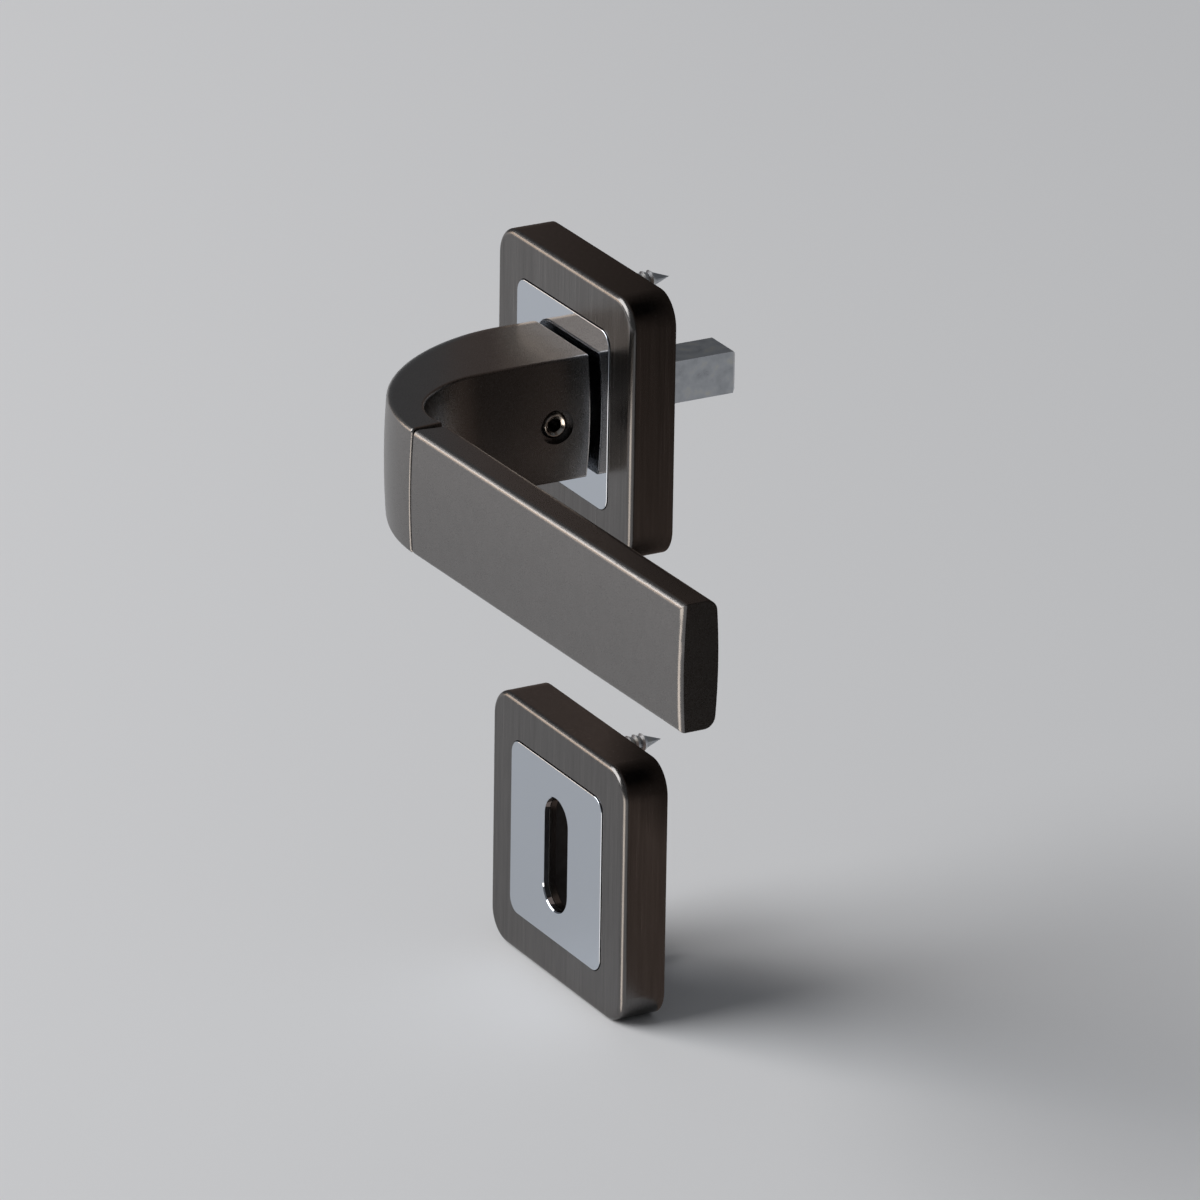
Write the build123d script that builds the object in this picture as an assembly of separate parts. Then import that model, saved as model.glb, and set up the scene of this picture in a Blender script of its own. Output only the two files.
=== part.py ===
from build123d import *
import math
import os

# Door lever handle on a square rose, with the matching key escutcheon below it.
# Millimetres. The origin lies on the spindle axis at the door face. +X runs along
# the grip, +Z is up and -Y points out of the door towards the user. "Out" values
# below are distances from the door face along -Y.

# ---- driving dimensions -------------------------------------------------------
rose_size = 50.0                # side of the square rose and of the escutcheon
rose_corner = 5.8               # corner radius of both covers
rose_front_out = 9.5            # front face of both covers
rim_gap = 0.5                   # the covers stop this short of the door
cover_wall = 1.5                # side wall of a cover
cover_floor = 1.2               # floor under the insert plate
cover_edge = 1.1                # rounding of the front edge
key_drop = 90.0                 # handle centre to keyway centre

plate_size = 34.2               # polished insert plate
plate_corner = 2.9
plate_thick = 1.2
plate_proud = 0.25              # how far the plate stands out of the cover
plate_gap = 0.16                # visible gap round the plate
plate_edge = 0.15               # rounding of the plate's front edge
bond_thick = 0.2                # adhesive pad under the plate
bond_inset = 1.5                # the pad stays this far inside the plate
bond_hub_clear = 0.5            # and this far from the hub's hole

corner_pocket = 7.0             # side of the hollow in each corner of a base
pocket_corner = 1.0

slot_width = 9.0                # oval keyway in the escutcheon
slot_height = 22.2
slot_edge = 0.2                 # broken edge of the keyway in the plate
slot_step = 0.3                 # each layer below is this much wider all round

base_clear = 0.2                # base to cover, per side
base_under = 0.1                # base to cover floor
snap_radius = 0.45              # half-round snap ridge on the base
snap_length = 12.0
snap_out = 3.0
snap_clear = 0.1

screw_pitch = 38.0              # fixing screws, centre to centre, one over the other
screw_shank = 3.5
screw_hole = 4.2
screw_head = 6.6
screw_head_high = 2.2
screw_seat_out = 2.4
screw_reach = 12.0              # length inside the door
screw_well = 7.4
screw_neck = 3.9                # shank inside the base
screw_plain = 4.0               # unthreaded shank inside the door
screw_root = 0.72               # root of the thread, as a share of the shank
thread_pitch = 1.4
thread_rise = (0.55, 0.8)       # root and crest of a turn, as shares of the pitch
thread_runout = 0.25            # plain root before the point, as a share of the pitch
screw_head_round = 1.0
screw_recess = (3.6, 1.4)       # cross recess in the head: width and depth
recess_arm = 0.28               # arm of a cross recess, as a share of its width

hub_dia = 18.0                  # round hub of the lever
hub_hole_clear = 0.4            # hub to cover and insert plate
hub_end_out = 1.0
hub_flat_deep = 0.8             # two flats on the hub drive the spring driver
bush_clear = 0.05               # running clearance of the hub in its bush
bush_wall = 2.0
bush_flange = 1.5
bush_flange_thick = 0.5
base_front_wall = 2.2
pocket_dia = 31.0               # spring pocket in the base
cap_thick = 0.8
cap_dia = 33.0
cap_ear_x = 18.5
cap_ear_radius = 3.4
cap_fit = 0.15

washer_thick = 0.4
washer_rim = 2.3                # how far the washer reaches past the hub
driver_thick = 1.2
driver_rim = 2.5
driver_finger_reach = 15.2      # length of the finger from the spindle axis
driver_finger_width = 4.6
driver_fit = 0.1
ring_thick = 1.0
ring_groove_deep = 0.6
ring_rim = 1.5
ring_mouth = 2.8                # opening of the retaining ring
ring_lug_x = 3.3                # each lug's distance from the middle of the opening
ring_lug = 1.7                  # radius of a lug of the retaining ring
ring_lug_hole = 0.6             # radius of the plier hole in it
ring_lug_sink = 0.6             # centre of a lug inside the ring's outline
ring_hole_rise = 0.2            # plier hole towards the edge of the lug
stack_gap = 0.05                # play between neighbours on the hub

spring_wire = 1.0
spring_radius = 13.2
spring_turns = 1.5
spring_leg_dia = 0.9            # the bent legs, a little thinner than the coil
spring_leg_inset = 0.002        # share of the coil between its end and a leg
spring_anchor = 1.2             # how far the fixed leg reaches into the pocket wall
spring_fit = 0.1

turn_range = 42.0               # lever travel, degrees
finger_rest = -69.0             # direction of the driver finger at rest
stop_play = 1.0                 # degrees between finger and stop
stop_span = 9.0                 # width of a stop, degrees
stop_clear = 1.0                # spring's mean radius to the inner face of a stop
stop_root = 0.5                 # how far a stop reaches into the pocket wall

spindle_size = 8.0
spindle_fit = 0.05
spindle_reach = 24.0            # length inside the door
spindle_deep_out = 31.0         # inner end, inside the neck
spindle_chamfer = 0.6
spindle_end_clear = 0.5

neck_start_out = 10.8           # rear face of the neck
lever_half_high = 11.7
neck_outer_x = -11.8            # side of the neck away from the grip
neck_inner_x = 11.8             # side of the neck towards the grip
bend_outer_out = 18.5           # where the outer side starts to bend
bend_inner_out = 32.4           # where the inner side starts to bend
bend_outer_pull = (18.1, 21.1)  # handle lengths of the outer bend curve
bend_inner_pull = (9.3, 9.8)    # handle lengths of the inner bend curve
bend_inner_lean = 3.1           # how far that curve swings out before the seam
seam_front = (30.5, 56.3)       # end of the neck, at its front edge (x, out)
seam_back = (29.95, 49.8)       # end of the neck, at its rear edge
neck_sections = 11
neck_round_rose = 5.4           # outer edge radius at the rose
neck_round_seam = 0.8           # outer edge radius at the seam
neck_round_fade = (0.15, 0.9)   # shares of the neck between which the radius changes
neck_inner_round = 0.55
neck_inner_crown = 1.1          # bulge of the inner side at the rose
seam_inner_crown = 0.8
neck_outer_crown = 0.6
seam_outer_crown = 0.45
rear_edge = 0.3                 # rounding of the neck's rear edge, at the rose
seam_edge = 0.45                # rounding of the neck's edge at the seam
grip_start_edge = 0.2
grip_end_edge = 0.25
grip_end_round = 1.0            # upright rounding between the front and the end
grip_end_clear = 0.01           # how far it stands clear of true tangency

grip_front_start = (31.15, 56.3)
grip_back_start = (32.0, 49.9)
grip_end_x = 124.1
grip_end_front_out = 54.4
grip_end_back_out = 47.8
grip_front_round = 1.1
grip_back_round = (1.0, 2.2)    # rear corner radius at the seam and at the end
grip_front_crown = 0.45
grip_back_crown = (0.8, 0.55)
grip_sections = 5

tongue_thick = 2.6              # tongue of the neck inside the grip
tongue_high = 15.0
tongue_length = 14.0            # beyond the seam
tongue_fit = 0.1
tongue_root = 4.0               # length of the tongue inside the neck
grip_screw_x = 38.5             # place of the two rear set screws along the grip
grip_screw_spread = 8.0
grip_screw_dia = 3.0
grip_screw_sink = 0.3
grip_screw_hex = (1.5, 1.2)     # socket: width across flats and depth
thread_fit = 0.05
cut_past = 3.0                  # how far a drilled cut starts outside the surface

grub_out = 17.6                 # grub screw that clamps the spindle
grub_dia = 5.0
grub_z = -0.6
grub_top_x = 12.2
grub_hex = 2.5
grub_hex_deep = 2.4
grub_mouth = (3.7, 0.45)        # countersink of the socket: width and depth
grub_chamfer = 0.5
grub_recess_dia = 6.6
grub_recess_x = 11.3

cap_screw_dia = 2.2
cap_screw_head = 4.2
cap_screw_length = 4.6
cap_screw_recess = (2.5, 0.56)  # width and depth

# ---- places worked out from the driving dimensions ----------------------------
half = rose_size / 2
plate_front_out = rose_front_out + plate_proud
plate_back_out = plate_front_out - plate_thick
recess_floor_out = plate_back_out - bond_thick
cavity_out = recess_floor_out - cover_floor
base_front_out = cavity_out - base_under
pocket_out = base_front_out - base_front_wall
flange_back_out = pocket_out - bush_flange_thick
washer_back_out = flange_back_out - stack_gap - washer_thick
driver_back_out = washer_back_out - stack_gap - driver_thick
ring_back_out = driver_back_out - stack_gap - ring_thick
bush_dia = hub_dia + 2 * (bush_clear + bush_wall)
hub_flats = hub_dia - 2 * hub_flat_deep
ring_groove_dia = hub_dia - 2 * ring_groove_deep
ring_dia = hub_dia + 2 * ring_rim
washer_dia = hub_dia + 2 * washer_rim
driver_dia = hub_dia + 2 * driver_rim
hub_hole = hub_dia + 2 * hub_hole_clear
base_side = rose_size - 2 * (cover_wall + base_clear)
inner_corner = rose_corner - cover_wall


# ---- helpers ------------------------------------------------------------------
def at(out, x=0.0, z=0.0):
    """Sketch plane parallel to the door at a distance out, centred on (x, z)."""
    return Plane(origin=(x, -out, z), x_dir=(1, 0, 0), z_dir=(0, -1, 0))


def slab(shape, low, high, x=0.0, z=0.0):
    """The flat shape, pulled from one distance out to another."""
    return extrude(at(low, x, z) * shape, amount=high - low)


def disc(diameter, low, high, x=0.0, z=0.0):
    return slab(Circle(diameter / 2), low, high, x, z)


def square(side, corner, low, high, z=0.0):
    return slab(RectangleRounded(side, side, corner), low, high, 0, z)


def oval(grow, low, high, z):
    """A keyway, grown by the same amount all round."""
    width = slot_width + 2 * grow
    return slab(SlotOverall(slot_height + 2 * grow, width, rotation=90), low, high, 0, z)


def edges_at(part, out):
    """The edges that lie wholly at one distance from the door."""
    def there(edge):
        box = edge.bounding_box()
        return abs(box.min.Y + out) < 1e-4 and abs(box.max.Y + out) < 1e-4
    return [edge for edge in part.edges() if there(edge)]


def blend(start, end, share):
    return start + (end - start) * share


def bezier(p0, p1, p2, p3, t):
    """Point of a cubic curve in plan, given as (x, out)."""
    a, b, c, d = (1 - t) ** 3, 3 * t * (1 - t) ** 2, 3 * t * t * (1 - t), t ** 3
    return tuple(a * i + b * j + c * k + d * m for i, j, k, m in zip(p0, p1, p2, p3))


# ---- rose and escutcheon ------------------------------------------------------
def cover(z):
    """Cast cover: outer shell with a shallow seat for the insert plate."""
    shell = square(rose_size, rose_corner, rim_gap, rose_front_out, z)
    shell = fillet(edges_at(shell, rose_front_out), cover_edge)
    side = rose_size - 2 * cover_wall
    shell -= square(side, inner_corner, rim_gap, cavity_out, z)
    seat = plate_size + 2 * plate_gap
    shell -= square(seat, plate_corner + plate_gap, recess_floor_out, rose_front_out, z)
    for way in (1, -1):
        groove = Cylinder(snap_radius + snap_clear, snap_length + 1, rotation=(0, 90, 0))
        shell -= Pos(0, -snap_out, z + way * (base_side / 2)) * groove
    return shell


def insert_plate(z):
    plate = square(plate_size, plate_corner, plate_back_out, plate_front_out, z)
    return fillet(edges_at(plate, plate_front_out), plate_edge)


def bond(z):
    side = plate_size - 2 * bond_inset
    return square(side, plate_corner, recess_floor_out, plate_back_out, z)


def base_block(z):
    """Moulded base: screw wells, corner pockets and snap ridges."""
    block = square(base_side, inner_corner - base_clear, 0, base_front_out, z)
    for way in (1, -1):
        level = z + way * screw_pitch / 2
        block -= disc(screw_hole, 0, base_front_out, 0, level)
        block -= disc(screw_well, screw_seat_out, base_front_out, 0, level)
        ridge = Cylinder(snap_radius, snap_length, rotation=(0, 90, 0))
        block += Pos(0, -snap_out, z + way * (base_side / 2)) * ridge
    corner = base_side / 2 - cover_wall - corner_pocket / 2
    for x in (-corner, corner):
        for dz in (-corner, corner):
            hole = RectangleRounded(corner_pocket, corner_pocket, pocket_corner)
            block -= slab(hole, 0, base_front_out - cover_wall, x, z + dz)
    return block


def make_rose_cover():
    return cover(0) - disc(hub_hole, cavity_out, rose_front_out)


def make_rose_plate():
    return insert_plate(0) - disc(hub_hole, plate_back_out, plate_front_out)


def make_rose_bond():
    return bond(0) - disc(hub_hole + 2 * bond_hub_clear, recess_floor_out, plate_back_out)


def make_key_cover():
    return cover(-key_drop) - oval(0, cavity_out, rose_front_out, -key_drop)


def make_key_plate():
    plate = insert_plate(-key_drop) - oval(0, plate_back_out, plate_front_out, -key_drop)
    rims = [e for e in edges_at(plate, plate_front_out) if abs(e.center().X) < slot_width
            and abs(e.center().Z + key_drop) < slot_height / 2 + 1]
    return chamfer(rims, slot_edge)


def make_key_bond():
    return bond(-key_drop) - oval(slot_step, recess_floor_out, plate_back_out, -key_drop)


def make_key_base():
    return base_block(-key_drop) - oval(2 * slot_step, 0, base_front_out, -key_drop)


def ring_sector(inner, outer, middle, span, low, high):
    """Part of a ring about the spindle axis, given by its middle direction in degrees."""
    ring = Circle(outer) - Circle(inner)
    reach = 2 * outer
    half_span = math.radians(span / 2)
    wedge = Polygon((0, 0), (reach, -reach * math.tan(half_span)),
                    (reach, reach * math.tan(half_span)), align=None)
    return slab(ring & (Rot(0, 0, middle) * wedge), low, high)


def finger_half_angle():
    return math.degrees(math.asin(driver_finger_width / 2 / spring_radius))


def make_rose_base():
    block = base_block(0)
    block -= disc(pocket_dia, 0, pocket_out)
    block -= disc(bush_dia, pocket_out, base_front_out)
    block -= cap_shape(cap_fit, 0, cap_thick)
    edge = finger_half_angle() + stop_play + stop_span / 2
    for middle in (finger_rest + edge, finger_rest - turn_range - edge):
        stop = ring_sector(spring_radius + stop_clear, pocket_dia / 2 + stop_root, middle, stop_span,
                           driver_back_out, pocket_out)
        block += stop
    block -= anchor_slot()
    for way in (1, -1):
        block -= disc(cap_screw_dia, 0, cap_screw_length, way * cap_ear_x)
    return block


def spring_out():
    """Centre of the spring wire at its first coil."""
    return cap_thick + spring_wire / 2 + stack_gap


def spring_leg_angle():
    """Direction of the driven spring leg, just beside the finger at rest, in degrees."""
    wire = math.degrees(math.asin((spring_leg_dia / 2 + stack_gap) / spring_radius))
    return finger_rest - finger_half_angle() - wire


def spring_direction(share):
    """Direction of the wire at a share of the coil, from its fixed end, in degrees."""
    return spring_leg_angle() - 360 * spring_turns * (1 - spring_leg_inset - share)


def anchor_slot():
    """Notch in the pocket wall that holds the fixed spring leg."""
    width = spring_wire + 2 * spring_fit
    reach = pocket_dia / 2 + spring_anchor + spring_fit
    notch = Pos(reach / 2, 0) * Rectangle(reach, width)
    turn = spring_direction(spring_leg_inset)
    return slab(Rot(0, 0, turn) * notch, 0, spring_out() + width / 2)


def cap_shape(grow, low, high):
    """Sheet cap that closes the spring pocket: a disc with two ears."""
    shape = Circle(cap_dia / 2 + grow)
    shape += SlotOverall(2 * (cap_ear_x + cap_ear_radius + grow), 2 * (cap_ear_radius + grow))
    return slab(shape, low, high)


def make_spring_cap():
    cap = cap_shape(0, 0, cap_thick) - disc(hub_dia, 0, cap_thick)
    for way in (1, -1):
        cone = Cone(cap_screw_head / 2, cap_screw_dia / 2, cap_thick, rotation=(90, 0, 0))
        cap -= Pos(way * cap_ear_x, -cap_thick / 2, 0) * cone
    return cap


def cross_recess(size, depth, out, x, z):
    """Cross recess for a driver; a negative depth cuts it towards the door."""
    arm = size * recess_arm
    low, high = sorted((out, out + depth))
    return slab(Rectangle(size, arm) + Rectangle(arm, size), low, high, x, z)


def make_cap_screws():
    screws = []
    for way in (1, -1):
        x = way * cap_ear_x
        cone = Cone(cap_screw_head / 2, cap_screw_dia / 2, cap_thick, rotation=(90, 0, 0))
        body = Pos(x, -cap_thick / 2, 0) * cone
        body += disc(cap_screw_dia - 2 * thread_fit, cap_thick, cap_screw_length, x)
        body -= cross_recess(*cap_screw_recess, 0, x, 0)
        screws.append(body)
    return screws


def wood_screw(z):
    """Pan head screw: plain shank through the base, then a thread and a point."""
    top = screw_seat_out + screw_head_high
    head = disc(screw_head, screw_seat_out, top, 0, z)
    head = fillet(edges_at(head, top), screw_head_round)
    crest = screw_shank / 2
    root = crest * screw_root
    turns = int((screw_reach - screw_plain - screw_shank) / thread_pitch)
    neck = screw_neck / 2
    profile = [(0, screw_seat_out), (neck, screw_seat_out), (neck, 0), (crest, 0),
               (crest, -screw_plain)]
    for turn in range(turns):
        start = -screw_plain - turn * thread_pitch
        profile.append((root, start - thread_pitch * thread_rise[0]))
        profile.append((crest, start - thread_pitch * thread_rise[1]))
    profile += [(root, -screw_plain - (turns + thread_runout) * thread_pitch), (0, -screw_reach)]
    flat = Plane(origin=(0, 0, z), x_dir=(1, 0, 0), z_dir=(0, 0, 1))
    shank = revolve(flat * Polygon(*[(r, -o) for r, o in profile], align=None),
                    Axis((0, 0, z), (0, 1, 0)))
    size, depth = screw_recess
    return head + shank - cross_recess(size, -depth, top, 0, z)


def screw_pair(z):
    return [wood_screw(z + way * screw_pitch / 2) for way in (1, -1)]


def make_bearing_bush():
    bush = disc(bush_dia, pocket_out, base_front_out)
    bush += disc(bush_dia + 2 * bush_flange, flange_back_out, pocket_out)
    return bush - disc(hub_dia + 2 * bush_clear, flange_back_out, base_front_out)


def make_return_spring():
    """Torsion spring round the hub, one leg in the base and one at the driver."""
    pitch = spring_wire + stack_gap
    line = Helix(pitch, pitch * spring_turns, spring_radius)
    turn = math.radians(spring_direction(0))
    frame = Plane(origin=(0, -spring_out(), 0), x_dir=(math.cos(turn), 0, math.sin(turn)),
                  z_dir=(0, -1, 0))
    path = frame * line
    profile = Plane(origin=path @ 0, z_dir=path % 0) * Circle(spring_wire / 2)
    coil = sweep(profile, path=path, is_frenet=True)
    first, last = path @ spring_leg_inset, path @ (1 - spring_leg_inset)
    base_end = (Align.CENTER, Align.CENTER, Align.MIN)
    reach = pocket_dia / 2 - spring_radius + spring_anchor
    fixed_leg = Cylinder(spring_leg_dia / 2, reach, align=base_end)
    coil += Plane(origin=first, z_dir=(first.X, 0, first.Z)) * fixed_leg
    driven_leg = Cylinder(spring_leg_dia / 2, washer_back_out + last.Y, align=base_end)
    coil += Plane(origin=last, z_dir=(0, -1, 0)) * driven_leg
    return coil


# ---- lever --------------------------------------------------------------------
def corner_arc(face_x, sag, high, radius, way):
    """Rounded top corner between the flat top and a bulged side of a section.

    Returns the point on the top, the middle of the corner and the point on the side.
    The side passes through (face_x, +-high) and bulges by sag in the direction way."""
    big = (high * high + sag * sag) / (2 * sag)
    centre = face_x + way * (sag - big)
    dx = math.sqrt((big - radius) ** 2 - (high - radius) ** 2)
    cx, cz = centre + way * dx, high - radius
    lean = math.atan2(cz, abs(cx - centre))
    side = (cx + way * radius * math.cos(lean), cz + radius * math.sin(lean))
    mid_angle = (lean + math.pi / 2) / 2
    mid = (cx + way * radius * math.cos(mid_angle), cz + radius * math.sin(mid_angle))
    return (cx, high), mid, side


def section(outer, inner, rounds, crowns):
    """Closed outline of the lever, standing upright on the line outer-inner in plan."""
    ox, oo = outer
    ix, io = inner
    width = math.hypot(ix - ox, io - oo)
    along = ((ix - ox) / width, (io - oo) / width)
    top_o, mid_o, side_o = corner_arc(0, crowns[0], lever_half_high, rounds[0], -1)
    top_i, mid_i, side_i = corner_arc(width, crowns[1], lever_half_high, rounds[1], 1)

    def spot(point, up=1):
        a, z = point
        return Vector(ox + along[0] * a, -(oo + along[1] * a), up * z)

    bulge_o = (-crowns[0], 0)
    bulge_i = (width + crowns[1], 0)
    arcs = [
        Edge.make_line(spot(top_o), spot(top_i)),
        Edge.make_three_point_arc(spot(top_i), spot(mid_i), spot(side_i)),
        Edge.make_three_point_arc(spot(side_i), spot(bulge_i), spot(side_i, -1)),
        Edge.make_three_point_arc(spot(side_i, -1), spot(mid_i, -1), spot(top_i, -1)),
        Edge.make_line(spot(top_i, -1), spot(top_o, -1)),
        Edge.make_three_point_arc(spot(top_o, -1), spot(mid_o, -1), spot(side_o, -1)),
        Edge.make_three_point_arc(spot(side_o, -1), spot(bulge_o), spot(side_o)),
        Edge.make_three_point_arc(spot(side_o), spot(mid_o), spot(top_o)),
    ]
    return Wire(arcs)


def outer_line(share):
    """Plan of the neck's outer side, from the rose (0) to the seam (1)."""
    straight = bend_outer_out - neck_start_out
    bend_share = straight / (straight + outer_bend_length)
    if share < bend_share:
        return neck_outer_x, neck_start_out + straight * share / bend_share
    t = (share - bend_share) / (1 - bend_share)
    start = (neck_outer_x, bend_outer_out)
    lead = (neck_outer_x, bend_outer_out + bend_outer_pull[0])
    trail = (seam_front[0] - bend_outer_pull[1], seam_front[1])
    return bezier(start, lead, trail, seam_front, t)


def inner_line(share):
    """Plan of the neck's inner side, from the rose (0) to the seam (1)."""
    straight = bend_inner_out - neck_start_out
    bend_share = straight / (straight + inner_bend_length)
    if share < bend_share:
        return neck_inner_x, neck_start_out + straight * share / bend_share
    t = (share - bend_share) / (1 - bend_share)
    start = (neck_inner_x, bend_inner_out)
    lead = (neck_inner_x, bend_inner_out + bend_inner_pull[0])
    trail = (seam_back[0] - bend_inner_pull[1], seam_back[1] + bend_inner_lean)
    return bezier(start, lead, trail, seam_back, t)


# lengths of the two bends, close enough to spread the sections evenly
outer_bend_length = 1.1 * math.dist((neck_outer_x, bend_outer_out), seam_front)
inner_bend_length = 1.1 * math.dist((neck_inner_x, bend_inner_out), seam_back)


def rim_edges(part, outer, inner):
    """The edges of a part that lie on the upright section plane through two plan points."""
    along = Vector(inner[0] - outer[0], -(inner[1] - outer[1]), 0).normalized()
    normal = Vector(-along.Y, along.X, 0)
    origin = Vector(outer[0], -outer[1], 0)

    def on_plane(edge):
        return all(abs((edge @ t - origin).dot(normal)) < 1e-3 for t in (0, 0.3, 0.7, 1))
    return [edge for edge in part.edges() if on_plane(edge)]


def neck_section(share):
    start, end = neck_round_fade
    fade = min(1.0, max(0.0, (share - start) / (end - start)))
    fade = fade * fade * (3 - 2 * fade)
    rounds = (blend(neck_round_rose, neck_round_seam, fade), neck_inner_round)
    crowns = (blend(neck_outer_crown, seam_outer_crown, fade),
              blend(neck_inner_crown, seam_inner_crown, fade))
    return section(outer_line(share), inner_line(share), rounds, crowns)


def grip_plan(share):
    """Front and rear points of the grip in plan, from the seam (0) to the end (1)."""
    front = (blend(grip_front_start[0], grip_end_x, share),
             blend(grip_front_start[1], grip_end_front_out, share))
    back = (blend(grip_back_start[0], grip_end_x, share),
            blend(grip_back_start[1], grip_end_back_out, share))
    return front, back


def grip_section(share):
    front, back = grip_plan(share)
    rounds = (grip_front_round, blend(grip_back_round[0], grip_back_round[1], share))
    crowns = (grip_front_crown, blend(grip_back_crown[0], grip_back_crown[1], share))
    return section(front, back, rounds, crowns)


def tongue(grow):
    """Flat tongue that joins neck and grip, along the middle of the grip."""
    (fx, fo), (bx, bo) = grip_plan(0)
    (ex, eo), (gx, go) = grip_plan(1)
    start = Vector((fx + bx) / 2, -(fo + bo) / 2, 0)
    way = (Vector((ex + gx) / 2, -(eo + go) / 2, 0) - start).normalized()
    frame = Plane(origin=start - way * tongue_root, x_dir=(0, 0, 1), z_dir=way)
    shape = Rectangle(tongue_high + 2 * grow, tongue_thick + 2 * grow)
    return extrude(frame * shape, amount=tongue_length + tongue_root + grow)


def square_bar(side, low, high):
    return slab(Rectangle(side, side), low, high)


def grub_hole(diameter, low_x, high_x):
    length = high_x - low_x
    bar = Cylinder(diameter / 2, length, rotation=(0, 90, 0))
    return Pos((low_x + high_x) / 2, -grub_out, grub_z) * bar


def make_lever_neck():
    shares = [i / (neck_sections - 1) for i in range(neck_sections)]
    neck = Part() + Solid.make_loft([neck_section(s) for s in shares])
    neck = fillet(rim_edges(neck, outer_line(0), inner_line(0)), rear_edge)
    neck = fillet(rim_edges(neck, seam_front, seam_back), seam_edge)
    neck += disc(hub_dia, hub_end_out, neck_start_out + 1)
    flats = hub_dia / 2
    for way in (1, -1):
        cut = Rectangle(hub_dia, flats)
        neck -= slab(cut, hub_end_out, washer_back_out - stack_gap,
                     0, way * (hub_flats / 2 + flats / 2))
    groove = disc(hub_dia + 1, ring_back_out, ring_back_out + ring_thick + stack_gap)
    neck -= groove - disc(ring_groove_dia, ring_back_out, ring_back_out + ring_thick + stack_gap)
    neck += tongue(0)
    neck -= square_bar(spindle_size + 2 * spindle_fit, hub_end_out, spindle_deep_out + spindle_end_clear)
    neck -= grub_hole(grub_dia + 2 * thread_fit, spindle_size / 2, neck_inner_x + cut_past)
    neck -= grub_hole(grub_recess_dia, grub_recess_x, neck_inner_x + cut_past)
    return neck


def grip_screw_places():
    """Centres of the rear set screws in plan, on the middle line of the grip."""
    (fx, fo), (bx, bo) = grip_plan(0)
    (ex, eo), (gx, go) = grip_plan(1)
    share = (grip_screw_x - fx) / (ex - fx)
    middle = blend((fo + bo) / 2, (eo + go) / 2, share)
    return [(grip_screw_x, middle, way * grip_screw_spread / 2) for way in (-1, 1)]


def grip_end_centre():
    """Centre of the grip's upright end rounding in plan."""
    length = grip_end_x - grip_front_start[0]
    slope = (grip_front_start[1] - grip_end_front_out) / length
    crest = grip_end_front_out + grip_front_crown + slope * grip_end_round
    inset = grip_end_round - grip_end_clear
    return grip_end_x - inset, crest - inset


def grip_end_waste():
    """What the upright rounding takes off the grip's end. It follows the front's crown."""
    x, out = grip_end_centre()
    side = grip_end_round + 1
    bend = (lever_half_high ** 2 + grip_front_crown ** 2) / (2 * grip_front_crown)
    upright = Plane(origin=(x, -out, 0), x_dir=(1, 0, 0), z_dir=(0, 0, 1))
    corner = Pos(side / 2, -side / 2) * Rectangle(side, side) - Circle(grip_end_round)
    axis = Axis((x, bend - out, 0), (1, 0, 0))
    turn = math.degrees(1.5 * lever_half_high / bend)
    half = upright * corner
    return revolve(half.rotate(axis, -turn), axis, 2 * turn)


def make_lever_grip():
    shares = [i / (grip_sections - 1) for i in range(grip_sections)]
    grip = Part() + Solid.make_loft([grip_section(s) for s in shares])
    grip = fillet(rim_edges(grip, *grip_plan(0)), grip_start_edge)
    grip -= grip_end_waste()
    behind = -grip_end_centre()[1] + 0.01
    ends = [e for e in rim_edges(grip, *grip_plan(1)) if (e @ 0.5).Y > behind]
    grip = fillet(ends, grip_end_edge)
    grip -= tongue(tongue_fit)
    for x, middle, z in grip_screw_places():
        grip -= disc(grip_screw_dia + 2 * thread_fit, grip_end_back_out - cut_past, middle, x, z)
    return grip


def hex_socket(across, depth):
    return extrude(RegularPolygon(across / math.sqrt(3), 6), amount=depth)


def make_grip_screws():
    screws = []
    for x, middle, z in grip_screw_places():
        face = middle - tongue_thick / 2 - thread_fit
        rear = grip_rear_out(x) - grip_back_crown[0] + grip_screw_sink
        body = disc(grip_screw_dia, rear, face, x, z)
        socket = Plane(origin=(x, -rear, z), z_dir=(0, -1, 0)) * hex_socket(*grip_screw_hex)
        screws.append(body - socket)
    return screws


def grip_rear_out(x):
    (fx, fo), (bx, bo) = grip_plan(0)
    (ex, eo), (gx, go) = grip_plan(1)
    return blend(bo, go, (x - bx) / (gx - bx))


def make_grub_screw():
    body = grub_hole(grub_dia, spindle_size / 2, grub_top_x)
    ends = [e for e in body.edges() if e.geom_type == GeomType.CIRCLE]
    body = chamfer(ends, grub_chamfer)
    socket = Plane(origin=(grub_top_x, -grub_out, grub_z), z_dir=(-1, 0, 0)) * hex_socket(
        grub_hex, grub_hex_deep)
    width, depth = grub_mouth
    mouth = Cone(width / 2 - depth, width / 2, depth, rotation=(0, 90, 0))
    return body - socket - Pos(grub_top_x - depth / 2, -grub_out, grub_z) * mouth


def make_spindle():
    bar = square_bar(spindle_size, -spindle_reach, spindle_deep_out)
    ends = edges_at(bar, -spindle_reach) + edges_at(bar, spindle_deep_out)
    return chamfer(ends, spindle_chamfer)


def hub_outline(grow):
    """Round hub with two flats, as the driver sees it."""
    return Circle(hub_dia / 2 + grow) & Rectangle(hub_dia + 2, hub_flats + 2 * grow)


def make_spring_driver():
    top = driver_back_out + driver_thick
    plate = disc(driver_dia, driver_back_out, top)
    finger = Pos(driver_finger_reach / 2, 0) * Rectangle(driver_finger_reach, driver_finger_width)
    arm = slab(Rot(0, 0, finger_rest) * finger, driver_back_out, top)
    return plate + arm - slab(hub_outline(driver_fit), driver_back_out, top)


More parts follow.
